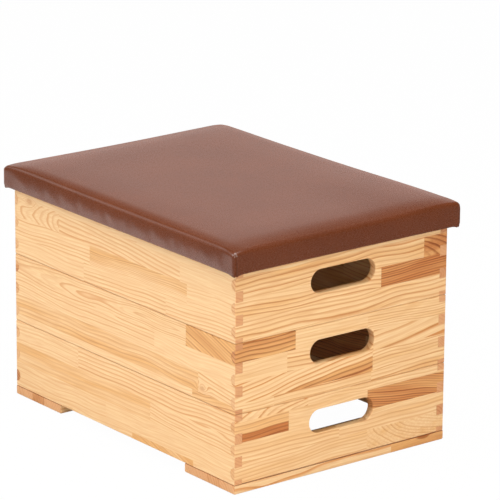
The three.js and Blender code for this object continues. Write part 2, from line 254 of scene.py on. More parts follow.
def sawn(bm, faces, axis, level):
    """Cuts some faces at a level along an axis."""
    verts = {vert for face in faces for vert in face.verts}
    edges = {edge for face in faces for edge in face.edges}
    normal = [0.0, 0.0, 0.0]
    normal[axis] = 1.0
    place = Vector(normal) * level
    bmesh.ops.bisect_plane(bm, geom=[*verts, *edges, *faces], dist=1e-6, plane_co=place, plane_no=normal)


# Along the log every strip has a length of its own, and boards and rows take up so many of them
lengths_used = 0
board_lengths = 11
row_lengths = 7
log_length = 1.37
# How much deeper the tone of a board's inside face is, a painted shade for the inside of the box.
painted_inner_shade = 0.24
far = 9.0
no_knot = (far, far, 0.01)


def glue_up(bm, axes, first_seam, rows, knots=(), end_share=1.0, painted_side_shade=0.0, lines=1.0, outward=0):
    """Cuts a board's faces along its glue lines and gives each strip its place in its log.

    axes are the axes along the strips, across them and through the board. rows go from the lowest
    up, each a list of (where the strip ends, how it was sawn), and the last one ends far off. knots
    are (along, across, radius). end_share is how much of its own colour the board's end grain has.
    The painted side shade is added to the tone, a deeper tone for a side of the box that looks less lit,
    and lines multiplies the contrast. outward is the way through the board that faces out of the box,
    and the other face, inside the box, gets a painted shade: a deeper tone.
    """
    global lengths_used
    along, across, through = axes
    low, high = corners(bm)
    middle = (low + high) / 2
    seams = [first_seam + i * strip_width for i in range(len(rows) - 1)]
    for seam in seams:
        sawn(bm, list(bm.faces), across, low[across] + seam)

    def row_of(face):
        return bisect(seams, face.calc_center_median()[across] - low[across])

    for number, row in enumerate(rows):
        for end, _ in row[:-1]:
            sawn(bm, [face for face in bm.faces if row_of(face) == number], along, middle[along] + end)
    grain = bm.loops.layers.float_vector.new("grain")
    knot_place = bm.loops.layers.float_vector.new("knot")
    look = bm.loops.layers.float_color.new("look")
    end_grain = bm.loops.layers.float.new("end_grain")
    edges = [0.0, *seams, high[across] - low[across]]
    for face in bm.faces:
        face.normal_update()
        number = row_of(face)
        center = face.calc_center_median() - middle
        strip = bisect([end for end, _ in rows[number][:-1]], center[along])
        sawing = rows[number][strip][1]
        strip_middle = (edges[number] + edges[number + 1]) / 2
        if strip_middle < strip_width / 2:
            strip_middle = edges[number + 1] - strip_width / 2
        own_shift = log_length * (lengths_used + row_lengths * number + strip)
        # Painted shade: a side of the box that looks less lit, and the boards' faces inside the box, get a
        # deeper tone.
        tone = sawing["tone"] + painted_side_shade + max(0.0, -outward * face.normal[through]) * painted_inner_shade
        knot_along, knot_across, knot_radius = min(knots, default=no_knot, key=lambda knot: (
            abs(knot[0] - center[along]) + abs(knot[1] - strip_middle)))
        for loop in face.loops:
            place = loop.vert.co - middle
            height = loop.vert.co[across] - low[across]
            loop[grain] = (
                place[along] + own_shift,
                height - strip_middle - sawing["pith"][0] - sawing["climb"] * place[along],
                place[through] - sawing["pith"][1] - sawing["lean"] * place[along],
            )
            loop[look] = (tone, lines * sawing["contrast"], sawing["ring"], sawing["heart"])
            loop[end_grain] = end_share * face.normal[along] ** 2
            from_knot = Vector((place[along] - knot_along, height - knot_across, 0.0))
            loop[knot_place] = from_knot / knot_radius
    lengths_used += board_lengths


# Glue and painted shade: the eased faces at a joint, sloped between these limits, get a dark red-brown, for
# glue and for the shade in the groove between two parts.
glue_and_shade_slopes = (0.1, 0.99)


def glue_and_shade_lined(bm, level, share):
    """Darkens the eased edges beside a level with glue and painted shade, where a joint's groove lies between
    two parts.
    """
    glue_and_shade = bm.loops.layers.float.new("glue_and_shade")
    for face in bm.faces:
        slope = abs(face.normal.z)
        beside = abs(face.calc_center_median().z - level) < edge_ease
        if beside and glue_and_shade_slopes[0] < slope < glue_and_shade_slopes[1]:
            for loop in face.loops:
                loop[glue_and_shade] = share


def finished(name, bm, material, body, slot, *nodes):
    """Makes a shape a piece of the box, which stands for CAD nodes."""
    mesh = bpy.data.meshes.new(name)
    bm.to_mesh(mesh)
    bm.free()
    piece = bpy.data.objects.new(name, mesh)
    bpy.context.scene.collection.objects.link(piece)
    piece.data.materials.append(material)
    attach(piece, body)
    if nodes:
        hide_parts(*nodes)
    return piece


def block(low, high):
    """A block between two corners."""
    bm = bmesh.new()
    size = Matrix.Diagonal((*(high - low), 1.0))
    bmesh.ops.create_cube(bm, size=1.0, matrix=Matrix.Translation((low + high) / 2) @ size)
    return bm


def edges_where(bm, *tests):
    """The edges whose both ends pass one of the tests."""
    return [edge for edge in bm.edges if any(all(test(vert.co) for vert in edge.verts) for test in tests)]


def faces_at(bm, axis, level):
    """The faces that lie flat at a level along an axis."""
    return [face for face in bm.faces if all(near(vert.co[axis], level) for vert in face.verts)]


def facing_out(bm):
    """Turns the faces of a closed shape outwards."""
    bmesh.ops.recalc_face_normals(bm, faces=list(bm.faces))


def rounded(bm, edges, radius, segments=round_segments):
    bmesh.ops.bevel(bm, geom=edges, offset=radius, offset_type="OFFSET", segments=segments, profile=0.5,
                    affect="EDGES", clamp_overlap=True, material=-1)


def near(value, level):
    return abs(value - level) < 1e-5


def disc(bm, radius, segments, place, facing):
    """A ring of edges round a place, square to a direction."""
    turn = upward.rotation_difference(facing).to_matrix().to_4x4()
    made = bmesh.ops.create_circle(bm, radius=radius, segments=segments, cap_ends=False,
                                   matrix=Matrix.Translation(place) @ turn)
    return list({edge for vert in made["verts"] for edge in vert.link_edges})


def sink_holes(bm, axis, level, places, inwards):
    """Opens sunk screw holes in the flat face at a level along an axis."""
    face = max(faces_at(bm, axis, level), key=lambda face: face.calc_area())
    rim = list(face.edges)
    bmesh.ops.delete(bm, geom=[face], context="FACES_ONLY")
    mouths = []
    for place in places:
        mouth = disc(bm, screw_head_radius + screw_clearance, hole_segments, place, inwards)
        seat = place + inwards * screw_head_depth
        throat = disc(bm, screw_shank_radius + screw_clearance, hole_segments, seat, inwards)
        bmesh.ops.bridge_loops(bm, edges=mouth + throat)
        bmesh.ops.edgeloop_fill(bm, edges=throat)
        mouths += mouth
    bmesh.ops.triangle_fill(bm, use_beauty=True, edges=rim + mouths)


plank_rows = {
    "right": (0.0286, [
        [(0.04, quiet), (far, lined)],
        [(-0.09, fine), (far, quiet)],
        [(-0.03, {**amber, "tone": 0.30}), (far, quiet)],
        [(0.122, {**lined, "pith": (-0.060, -0.050)}), (far, {**striped, "tone": 0.62})],
    ]),
    "left": (0.0150, [
        [(-0.05, lined), (far, quiet)],
        [(0.11, quiet), (far, amber)],
        [(-0.14, striped), (far, fine)],
        [(0.02, quiet), (far, arched)],
    ]),
}
varnished_pine = pine("varnished_pine")
plank_pine = pine("plank_pine")


def screws_under(side):
    """The places of the screw heads under one plank."""
    boxes = [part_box(f"foot_screw_{side}_{number}") for number in (1, 2, 3, 4)]
    return [Vector(((low.x + high.x) / 2, (low.y + high.y) / 2, low.z)) for low, high in boxes]


for side in ("left", "right"):
    node = f"foot_plank_{side}"
    low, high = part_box(node)
    bm = block(low, high)
    rounded(bm, edges_where(bm, lambda place: near(place.z, low.z)), plank_round)
    rounded(bm, edges_where(bm, lambda place: near(place.z, high.z)), plank_ease)
    sink_holes(bm, Z, low.z, screws_under(side), upward)
    facing_out(bm)
    glue_up(bm, (Y, X, Z), *plank_rows[side], end_share=0.7)
    # The plank's upper eased edge gets glue and painted shade, a dark line at its joint with the frame.
    glue_and_shade_lined(bm, high.z, dark_glue_and_shade)
    finished(f"{node}_pine", bm, plank_pine, "base", "foot_pine", node)

# The long boards of the three frames, two to a frame, glued up from strips along the box.
# Each end has three half-round notches, routed through the board, that take the end board's
# tongues; the outer edges are eased. A screw from each corner peg goes into their inner face.
tongue_radius = 0.0119
notch_clearance = 0.0003
arc_steps = 20
tongue_shares = (0.16, 0.49, 0.82)
board_thickness = 0.017
# Share of glue and painted shade on the long boards' lower eased edges, between the frames.
plain_glue_and_shade = 0.45
frame_bodies = {"bottom": "base", "middle": "middle_frame", "top": "top_frame"}

sap = {**quiet, "tone": 0.02, "contrast": 0.30}
figured = {**amber, "pith": (-0.034, -0.024), "climb": 0.05, "lean": 0.04, "ring": 0.0062, "tone": 0.54}
slanted = {**amber, "pith": (-0.050, 0.010), "climb": -0.35, "ring": 0.0066, "tone": 0.50,
           "contrast": 0.9}
front_rows = {
    "top": (0.0381, [
        [(-0.12, quiet), (0.140, lined), (far, {**lined, "contrast": 0.75})],
        [(-0.10, lined),
         (0.205, {**arched, "pith": (0.020, -0.016), "tone": -0.12, "lean": -0.02, "heart": 0.026}),
         (far, quiet)],
        [(-0.20, arched), (0.183, {**lined, "pith": (-0.06, -0.04), "climb": -0.06}), (far, sap)],
        [(0.05, quiet), (far, sap)],
    ], ((-0.300, 0.116, 0.008),)),
    "middle": (0.0154, [
        [(0.222, sap), (far, {**amber, "climb": 0.12})],
        [(0.240, {**amber, "tone": 0.34, "contrast": 0.6}), (far, {**lined, "climb": -0.14})],
        [(0.105, fine), (far, sap)],
        [(0.202, {**arched, "pith": (0.000, -0.014), "tone": 0.15, "lean": 0.05, "ring": 0.0040}),
         (far, slanted)],
    ], ((0.252, 0.025, 0.006),)),
    "bottom": (0.0120, [
        [(0.035, quiet), (0.225, {**slanted, "tone": 0.40, "contrast": 0.45}), (far, sap)],
        [(-0.05, quiet), (far, sap)],
        [(0.092, {**amber, "tone": 0.32, "contrast": 0.35}), (far, {**fine, "climb": -0.05})],
        [(-0.14, quiet), (far, {**lined, "pith": (-0.06, -0.03)})],
    ], ()),
}


def chance_rows(seed, half_length, row_count):
    """The strips of a board that the picture doesn't show, drawn from a fixed seed."""
    chance = random.Random(seed)
    kinds = [quiet, quiet, sap, lined, lined, fine, arched, amber, striped, figured]
    rows = []
    for _ in range(row_count):
        joints = sorted(chance.uniform(-half_length, half_length) for _ in range(chance.choice((1, 1, 2))))
        row = []
        for end in (*joints, far):
            kind = chance.choice(kinds)
            row.append((end, {**kind, "climb": kind["climb"] + chance.uniform(-0.04, 0.04),
                              "tone": 0.7 * kind["tone"] + chance.uniform(0.0, 0.12)}))
        rows.append(row)
    return chance.uniform(0.3, 0.95) * strip_width, rows


def arc_of(bm, start, center, turn):
    """Turns a half circle in the XZ plane from a vertex about a center, and gives its last vertex."""
    made = bmesh.ops.spin(bm, geom=[start], cent=center, axis=(0.0, 1.0, 0.0), angle=turn, steps=arc_steps)
    return next(item for item in made["geom_last"] if isinstance(item, bmesh.types.BMVert))


def board_profile(bm, low, high, ends, radius):
    """The outline of a board in the XZ plane, with half-round notches at the given ends."""
    height = high.z - low.z
    last = bm.verts.new((low.x, low.y, low.z))
    for x, z, way in ((high.x, low.z, 1), (low.x, high.z, -1)):
        here = bm.verts.new((x, low.y, z))
        bm.edges.new((last, here))
        last = here
        if way in ends:
            for share in tongue_shares[::way]:
                center_z = low.z + height * share
                start = bm.verts.new((x, low.y, center_z - way * radius))
                bm.edges.new((last, start))
                last = arc_of(bm, start, (x, low.y, center_z), math.pi)
        here = bm.verts.new((x, low.y, z + way * height))
        bm.edges.new((last, here))
        last = here
    bmesh.ops.remove_doubles(bm, verts=list(bm.verts), dist=1e-6)


def at_rim(place, low, high):
    """Whether a place lies at a board's upper or lower edge."""
    return near(place.z, low.z) or near(place.z, high.z)


def drawn_out(bm, faces, vector, keep=False):
    """Draws faces out along a vector, and gives the vertices that went with them."""
    grown = bmesh.ops.extrude_face_region(bm, geom=faces, use_keep_orig=keep)
    moved = [item for item in grown["geom"] if isinstance(item, bmesh.types.BMVert)]
    bmesh.ops.translate(bm, verts=moved, vec=vector)
    return moved


def pegs_of(level, side_name):
    """The places of the peg screws' heads on one long side of a frame, and which way they face."""
    way = -1.0 if side_name == "front" else 1.0
    places = []
    for end_name in ("left", "right"):
        low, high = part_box(f"{level}_frame_peg_screw_{side_name}_{end_name}")
        head_y = high.y if way < 0 else low.y
        places.append(Vector(((low.x + high.x) / 2, head_y, (low.z + high.z) / 2)))
    return places, Vector((0.0, way, 0.0))


for level, body in frame_bodies.items():
    for side_name, outward in (("front", -1.0), ("rear", 1.0)):
        node = f"{level}_frame_long_board_{side_name}"
        low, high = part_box(node)
        bm = bmesh.new()
        board_profile(bm, low, high, (1, -1), tongue_radius + notch_clearance)
        bmesh.ops.edgeloop_fill(bm, edges=list(bm.edges))
        drawn_out(bm, list(bm.faces), (0.0, high.y - low.y, 0.0))
        facing_out(bm)
        outer_y, inner_y = (low.y, high.y) if outward < 0 else (high.y, low.y)
        inner_x = high.x - board_thickness
        for x in (-inner_x, inner_x):
            sawn(bm, list(bm.faces), X, x)
        worn = edges_where(
            bm,
            lambda place: near(place.y, outer_y) and at_rim(place, low, high),
            lambda place: near(place.y, outer_y) and near(abs(place.x), high.x),
            lambda place: near(abs(place.x), high.x) and at_rim(place, low, high),
            lambda place: (near(place.y, inner_y) and at_rim(place, low, high)
                           and abs(place.x) < inner_x + 1e-5),
        )
        rounded(bm, worn, foot_ease if level == "bottom" else edge_ease)
        if side_name == "front":
            first_seam, rows, knots = front_rows[level]
        else:
            first_seam, rows = chance_rows(f"{level} rear", half_length=0.35, row_count=4)
            knots = ()
        glue_up(bm, (X, Z, Y), first_seam, rows, knots, lines=0.85, outward=outward)
        # The lower eased edge of an upper frame's long board gets glue and painted shade, a dark line between
        # the frames.
        if level != "bottom":
            glue_and_shade_lined(bm, low.z, plain_glue_and_shade)
        finished(f"{node}_pine", bm, varnished_pine, body, "pine", node)

# The end boards of the three frames, with half-round tongues at both ends, glued into the long
# boards' notches, and a hand slot with rounded edges routed through the middle.
slot_length = 0.152
slot_height = 0.046
slot_drop = 0.052
slot_round = 0.002
slot_segments = 64
slot_round_steps = 4
# Share of glue and painted shade on the end boards' lower eased edges, between the frames.
faint_glue_and_shade = 0.15

right_rows = {
    "top": (0.0046, [
        [(far, quiet)],
        [(far, {**lined, "pith": (-0.045, -0.030), "contrast": 0.7})],
        [(0.090, {**lined, "climb": -0.02}), (far, striped)],
        [(0.193, {**lined, "pith": (0.060, 0.050), "tone": 0.12}), (far, {**figured, "lean": 0.3})],
        [(far, {**lined, "contrast": 0.5})],
    ], ()),
    "middle": (0.0199, [
        [(-0.160, quiet), (0.070, lined), (far, {**lined, "climb": 0.06})],
        [(0.073, {**amber, "climb": 0.16, "tone": -0.10, "heart": 0.066}),
         (far, {**quiet, "contrast": 0.7})],
        [(-0.130, sap), (0.074, {**lined, "climb": -0.05}),
         (far, {**lined, "climb": 0.16, "ring": 0.0125})],
        [(-0.111, amber), (0.060, sap), (far, {**fine, "contrast": 0.6})],
    ], ()),
    "bottom": (0.0407, [
        [(0.062, {**quiet, "climb": 0.05}),
         (far, {**lined, "pith": (0.050, -0.125), "lean": 0.5, "contrast": 0.45, "ring": 0.0050})],
        [(-0.005, {**lined, "contrast": 0.6, "climb": -0.02}), (far, {**lined, "contrast": 0.5})],
        [(-0.125, {**amber, "tone": 0.16, "contrast": 0.6, "heart": 0.066}), (0.062, sap),
         (far, {**striped, "tone": 0.48, "climb": -0.16})],
        [(-0.080, {**arched, "pith": (-0.012, -0.020)}), (far, quiet)],
    ], ()),
}


def slot_ring(bm, place, grow):
    """One ring of the hand slot: a circle whose halves are drawn apart."""
    radius = slot_height / 2 + grow
    turn = Matrix.Rotation(math.pi / 2, 4, "Y") @ Matrix.Rotation(math.pi / slot_segments, 4, "Z")
    made = bmesh.ops.create_circle(bm, radius=radius, segments=slot_segments, cap_ends=False,
                                   matrix=Matrix.Translation(place) @ turn)
    for vert in made["verts"]:
        vert.co.y += math.copysign((slot_length - slot_height) / 2, vert.co.y - place.y)
    return list({edge for vert in made["verts"] for edge in vert.link_edges})


def smooth(faces):
    for face in faces:
        face.smooth = True


def open_slot(bm, low, high):
    """Opens the hand slot through an end board, with its edges rounded over on both faces."""
    rings = []
    for i in range(slot_round_steps + 1):
        angle = i / slot_round_steps * math.pi / 2
        rings.append((slot_round * (1 - math.sin(angle)), slot_round * (1 - math.cos(angle))))
    depths = [(low.x + inset, grow) for grow, inset in rings]
    depths += [(high.x - inset, grow) for grow, inset in reversed(rings)]
    middle_y = (low.y + high.y) / 2
    height = high.z - slot_drop
    walls = [slot_ring(bm, Vector((x, middle_y, height)), grow) for x, grow in depths]
    for first, second in zip(walls, walls[1:]):
        smooth(bmesh.ops.bridge_loops(bm, edges=first + second)["faces"])
    for x, wall in ((low.x, walls[0]), (high.x, walls[-1])):
        flat = [face for face in faces_at(bm, X, x) if all(
            abs(vert.co.y - middle_y) < (high.y - low.y) / 2 - 1e-5 for vert in face.verts)]
        rim = [edge for face in flat for edge in face.edges
               if sum(other in flat for other in edge.link_faces) == 1]
        bmesh.ops.delete(bm, geom=flat, context="FACES_ONLY")
        loose = [edge for edge in bm.edges if not edge.link_faces]
        bmesh.ops.delete(bm, geom=loose, context="EDGES")
        bmesh.ops.triangle_fill(bm, use_beauty=True, edges=rim + wall)


for level, body in frame_bodies.items():
    for end_name, outward in (("right", 1), ("left", -1)):
        node = f"{level}_frame_end_board_{end_name}"
        low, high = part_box(node)
        block_half = (high.y - low.y) / 2 - board_thickness - notch_clearance
        bm = bmesh.new()
        # The profile with its tongues, then the tongues alone drawn further out at both ends
        first = Vector((low.x, -block_half, low.z))
        board_profile(bm, first, high, (outward,), tongue_radius)
        bmesh.ops.edgeloop_fill(bm, edges=list(bm.edges))
        outer_x = high.x if outward > 0 else low.x
        for share in tongue_shares:
            center_z = low.z + (high.z - low.z) * share
            center = Vector((outer_x, first.y, center_z))
            arc = edges_where(bm, lambda place: near((place - center).length, tongue_radius))
            chord = [vert for vert in bm.verts if near(abs(vert.co.z - center_z), tongue_radius)
                     and near(vert.co.x, outer_x)]
            arc.append(bm.edges.new(chord))
            bmesh.ops.edgeloop_fill(bm, edges=arc)
        drawn_out(bm, list(bm.faces), (0.0, 2 * block_half, 0.0), keep=True)
        for way in (-1.0, 1.0):
            tongues = [face for face in faces_at(bm, Y, way * block_half) if len(face.verts) == arc_steps + 1]
            drawn_out(bm, tongues, (0.0, way * (high.y - block_half), 0.0))
        facing_out(bm)
        worn = [edge for edge in edges_where(bm, lambda place: at_rim(place, low, high))
                if edge.calc_length() > block_half]
        worn += edges_where(bm, lambda place: near(place.x, outer_x) and near(abs(place.y), high.y))
        rounded(bm, worn, foot_ease if level == "bottom" else edge_ease)
        open_slot(bm, low, high)
        facing_out(bm)
        if end_name == "right":
            first_seam, rows, knots = right_rows[level]
        else:
            first_seam, rows = chance_rows(f"{level} left", half_length=0.25, row_count=4)
            knots = ()
        # The end boards get a painted shade, a deeper tone so that the end sides look less lit than the long
        # sides.
        glue_up(bm, (Y, Z, X), first_seam, rows, knots, end_share=0.45, painted_side_shade=0.16, lines=1.15,
                outward=outward)
        # The end board's lower eased edge gets glue and painted shade, strongest at the plank.
        glue_and_shade_lined(bm, low.z, dark_glue_and_shade if level == "bottom" else faint_glue_and_shade)
        finished(f"{node}_pine", bm, varnished_pine, body, "pine", node)

# The corner pegs, square pine blocks screwed into the corners of each frame. Their narrower,
# rounded tips stand proud of it and find the corners of the frame or the lid above.
peg_reach = 0.010
peg_step = 0.001
peg_round = 0.004
tip_round = 0.003
peg_segments = 4
peg_sawing = {**quiet, "pith": (0.024, 0.012), "tone": 0.14, "contrast": 0.6}


def upright_edges(bm):
    return [edge for edge in bm.edges if near(edge.verts[0].co.x, edge.verts[1].co.x)
            and near(edge.verts[0].co.y, edge.verts[1].co.y)]


for level, body in frame_bodies.items():
    for side_name in ("front", "rear"):
        places, inwards = pegs_of(level, side_name)
        for end_name, place in zip(("left", "right"), places):
            node = f"{level}_frame_peg_{side_name}_{end_name}"
            low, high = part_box(node)
            bm = block(low, Vector((high.x, high.y, high.z - peg_reach)))
            rounded(bm, upright_edges(bm), peg_round, peg_segments)
            top = max(bm.faces, key=lambda face: face.calc_center_median().z)
            bmesh.ops.inset_individual(bm, faces=[top], thickness=peg_step, depth=peg_step)
            grown = bmesh.ops.extrude_discrete_faces(bm, faces=[top])
            tip = grown["faces"][0]
            bmesh.ops.translate(bm, verts=list(tip.verts), vec=(0.0, 0.0, peg_reach - peg_step))
            rounded(bm, list(tip.edges), tip_round, peg_segments)
            sink_holes(bm, Y, place.y, [place], inwards)
            facing_out(bm)
            glue_up(bm, (Z, X, Y), strip_width, [[(far, peg_sawing)]])
            finished(f"{node}_pine", bm, varnished_pine, body, "pine", node)

# The zinc-plated countersunk wood screws, from inside through each peg into a long board, and up
# through the planks into the bottom frame. Each is turned, with a rolled thread and a cross recess.
screw_rim = 0.0002
screw_tip_length = 0.004
screw_point_radius = 0.0002
screw_segments = 24
thread_pitch = 0.0018
thread_depth = 0.0004
thread_steps = 12
recess_arm = 0.0022
recess_half_width = 0.0005
recess_depth = 0.0014
recess_taper = 0.5


def object_place(tree):
    """A piece's own coordinates, which are the whole box's too."""
    return Field(tree.nodes.new("ShaderNodeTexCoord").outputs["Object"])


def zinc(name):
    """Zinc plating, a little cloudy and worn."""
    material, tree, surface = shader(name)
    place = object_place(tree)
    cloud = cloudy(place, 900.0, 3.0)
    grey = blended(cloud, linear(196, 194, 186), linear(150, 148, 142))
    filled(surface, {"Base Color": grey, "Roughness": ramp(cloud, 0.3, 0.7, 0.28, 0.45), "Metallic": 1.0})
    relief(surface, cloudy(place, 2500.0), 0.00005, 0.5)
    return material


def turned_screw(length):
    """A screw that stands on its point's axis, its head's face at the origin and its shank along +Z."""
    bm = bmesh.new()
    mouth = disc(bm, screw_head_radius, screw_segments, Vector(), upward)
    bmesh.ops.create_grid(bm, x_segments=3, y_segments=3, size=recess_arm)
    outside = [face for face in bm.faces
               if min(abs(part) for part in face.calc_center_median()[:2]) > recess_arm / 3]
    bmesh.ops.delete(bm, geom=outside, context="FACES")
    cross = list(bm.faces)
    for vert in {vert for face in cross for vert in face.verts}:
        for axis in (X, Y):
            if abs(vert.co[axis]) < recess_arm * 0.9:
                vert.co[axis] = math.copysign(recess_half_width, vert.co[axis])
    rim = [edge for edge in bm.edges if len(edge.link_faces) == 1]
    bmesh.ops.triangle_fill(bm, use_beauty=True, edges=mouth + rim)
    sunk = drawn_out(bm, cross, (0.0, 0.0, recess_depth))
    bmesh.ops.scale(bm, verts=sunk, vec=(recess_taper, recess_taper, 1.0))
    bmesh.ops.delete(bm, geom=[face for face in cross if face.is_valid], context="FACES_ONLY")
    ring = mouth
    for radius, depth in ((screw_head_radius, screw_rim), (screw_shank_radius, screw_head_depth),
                          (screw_shank_radius, length - screw_tip_length), (screw_point_radius, length)):
        following = disc(bm, radius, screw_segments, upward * depth, upward)
        smooth(bmesh.ops.bridge_loops(bm, edges=ring + following)["faces"])
        ring = following
    bmesh.ops.edgeloop_fill(bm, edges=ring)
    turns = (length - screw_tip_length - screw_head_depth) / thread_pitch - 2
    start = screw_head_depth + thread_pitch
    crest = [bm.verts.new((screw_shank_radius * 0.98, 0.0, start)),
             bm.verts.new((screw_shank_radius + thread_depth, 0.0, start + thread_pitch / 4)),
             bm.verts.new((screw_shank_radius * 0.98, 0.0, start + thread_pitch / 2))]
    crest_edges = [bm.edges.new(pair) for pair in zip(crest, (*crest[1:], crest[0]))]
    made = bmesh.ops.spin(bm, geom=crest + crest_edges, cent=(0.0, 0.0, 0.0), axis=upward,
                          dvec=upward * (thread_pitch / thread_steps), angle=2 * math.pi * round(turns),
                          steps=thread_steps * round(turns))
    last_edges = [item for item in made["geom_last"] if isinstance(item, bmesh.types.BMEdge)]
    for edges in (crest_edges, last_edges):
        bmesh.ops.edgeloop_fill(bm, edges=edges)
    facing_out(bm)
    return bm


screw_zinc = zinc("screw_zinc")
screws = []
for level, body in frame_bodies.items():
    for side_name in ("front", "rear"):
        places, outwards = pegs_of(level, side_name)
        for end_name, place in zip(("left", "right"), places):
            screws.append((f"{level}_frame_peg_screw_{side_name}_{end_name}", body, place, outwards))
for side in ("left", "right"):
    for number, place in enumerate(screws_under(side), start=1):
        screws.append((f"foot_screw_{side}_{number}", "base", place, upward))
for node, body, place, way in screws:
    low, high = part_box(node)
    bm = turned_screw(max(high.y - low.y, high.z - low.z))
    turn = upward.rotation_difference(way).to_matrix().to_4x4()
    bmesh.ops.transform(bm, matrix=Matrix.Translation(place) @ turn, verts=list(bm.verts))
    finished(f"{node}_zinc", bm, screw_zinc, body, "zinc_steel", node)

# The lid's battens, four planed pine strips that butt into a flat frame and rest on the top
# frame's edge, inside the cover's hem.
batten_ease = 0.001
batten_corner = 0.0055
batten_segments = 4
ease_segments = 2
batten_sawing = {**quiet, "pith": (0.045, 0.020), "tone": 0.16, "contrast": 0.7}

for name in ("front", "rear", "left", "right"):
    node = f"lid_batten_{name}"
    low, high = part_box(node)
    bm = block(low, high)
    is_long = name in ("front", "rear")
    if is_long:
        outer = max(abs(low.y), abs(high.y))
        ends = [edge for edge in upright_edges(bm) if near(abs(edge.verts[0].co.y), outer)]
        rounded(bm, ends, batten_corner, batten_segments)
    flat_edges = [edge for edge in bm.edges if near(edge.verts[0].co.z, edge.verts[1].co.z)]
    rounded(bm, flat_edges, batten_ease, ease_segments)
    axes = (X, Z, Y) if is_long else (Y, Z, X)
    glue_up(bm, axes, strip_width, [[(far, batten_sawing)]])
    finished(f"{node}_pine", bm, varnished_pine, "lid", "pine", node)

# The lid's panel, a sheet of thin birch plywood on the battens, which carries the foam. Its
# underside shows inside the lid when it is lifted.


def birch_plywood(name):
    """Bare birch, with flowing figure, dark pores and pale flecks along the sheet."""
    material, tree, surface = shader(name)
    place = object_place(tree)
    flow = cloudy(vector_calc("MULTIPLY", place, (3.0, 34.0, 34.0)), 1.0, 3.0, 0.55)
    pores = cloudy(vector_calc("MULTIPLY", place, (60.0, 1500.0, 1500.0)), 1.0)
    flecks = cloudy(vector_calc("MULTIPLY", place, (26.0, 260.0, 260.0)), 1.0, 1.0)
    wood = blended(ramp(flow, 0.32, 0.68), linear(226, 198, 156), linear(200, 164, 120))
    wood = blended(ramp(pores, 0.55, 0.75, 0.0, 0.35), wood, linear(158, 120, 82))
    wood = blended(ramp(flecks, 0.60, 0.72, 0.0, 0.30), wood, linear(236, 212, 174))
    filled(surface, {"Base Color": wood, "Roughness": 0.7})
    relief(surface, pores, 0.0001, 0.5)
    return material


panel = bpy.data.objects["lid_panel"]
panel.data.materials.clear()
panel.data.materials.append(birch_plywood("birch_plywood"))

# The foam pad, one sheet of polyurethane foam glued on the panel. The tight cover rounds its
# edges, so that it is crowned in the middle and drops a little at the corners.
crown_height = 0.0045
steep_share = 0.6
steep_reach = (0.060, 0.032)
crown_reach = 0.110
edge_dip = 0.0018
left_dip = 0.0016
corner_drop = 0.0035
far_lift = 0.0030
lift_along = (-0.03, 0.25)
lift_across = (0.05, 0.25)
corner_reach = 0.040
flare_reach = 0.060
flares = {(1, -1): 0.0016, (1, 1): 0.0, (-1, -1): 0.0010, (-1, 1): 0.0}
rear_bulge = 0.0050
bulge_along = (-0.25, 0.05)
end_hollow = 0.0010
shoulder = 0.0030
shoulder_depth = 0.022
shoulder_reach = 0.020
lean_zone = (0.010, 0.060)
lid_edge_round = 0.008
lid_corner_radius = 0.007
pad_corner_radius = 0.008
cover_thickness = 0.0012
pad_gap = 0.0006
pad_spacing = 0.012
pad_segments = 4
cover_low, cover_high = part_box("lid_cover")
pad_low, pad_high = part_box("lid_foam_pad")


def eased(value, low, high):
    """A share that goes smoothly from 0 to 1 while the value goes from low to high."""
    share = max(0.0, min(1.0, (value - low) / (high - low)))
    return share * share * (3 - 2 * share)


def middle_share(place, half):
    """How much of a side's own shape is felt along it, from 1 at its middle to 0 at its ends."""
    return (1 - min(1, abs(place / half)) ** 2) ** 2


def crown(distance, steep):
    """The share of the crown's height at a distance from the edge, steep at first and then slow."""
    first, slow = (1 - (1 - max(0.0, min(1.0, distance / reach))) ** 2 for reach in (steep, crown_reach))
    return steep_share * first + (1 - steep_share) * slow


def to_edges(place):
    """How far a place of the cushion lies in from its end and from its side."""
    return cover_high.x - abs(place.x), cover_high.y - abs(place.y)


def cushion_rise(place):
    """The rise of the cushion's top over its plain edge."""
    to_end, to_side = to_edges(place)
    end_crown = crown(to_end, steep_reach[X])
    side_crown = crown(to_side, steep_reach[Y])
    end_near, side_near = (max(0.0, min(1.0, 1 - d / corner_reach)) ** 2 for d in (to_end, to_side))
    dip = edge_dip * (1 - end_crown) * middle_share(place.y, cover_high.y)
    dip += edge_dip * (1 - side_crown) * middle_share(place.x, cover_high.x)
    if place.x < 0:
        dip += left_dip * (1 - end_crown)
    lift = far_lift * eased(place.x, *lift_along) * eased(place.y, *lift_across)
    return crown_height * end_crown * side_crown + lift - dip - corner_drop * end_near * side_near


def settled_out(place):
    """How far the cushion's sides stand out level with the floor, where its folds and foam push them."""
    to_end, to_side = to_edges(place)
    corner = (1 if place.x > 0 else -1, 1 if place.y > 0 else -1)
    flare = flares[corner] * math.exp(-(to_end + to_side) / flare_reach)
    out = Vector((corner[X] * flare, corner[Y] * flare, 0.0))
    if place.y > 0:
        out.y += rear_bulge * math.exp(-to_side / flare_reach) * eased(place.x, *bulge_along)
    if place.x > 0:
        out.x -= end_hollow * math.exp(-to_end / flare_reach) * middle_share(place.y, cover_high.y)
    # Away from the corners the foam gives way under the rim, so the sides lean in towards it
    rim_share = max(0.0, min(1.0, 1 - (cover_high.z - crown_height - place.z) / shoulder_depth)) ** 2
    lean = shoulder * rim_share * eased(to_end + to_side, *lean_zone)
    out.x -= corner[X] * lean * math.exp(-to_end / shoulder_reach)
    out.y -= corner[Y] * lean * math.exp(-to_side / shoulder_reach)
    return out


def plump(bm, rim_height):
    """Lifts and drops a cushion's top, and its sides the less the lower they are."""
    for vert in bm.verts:
        share = (vert.co.z - pad_low.z) / (rim_height - lid_edge_round - pad_low.z)
        vert.co.z += max(0.0, min(1.0, share)) ** 2 * cushion_rise(vert.co)


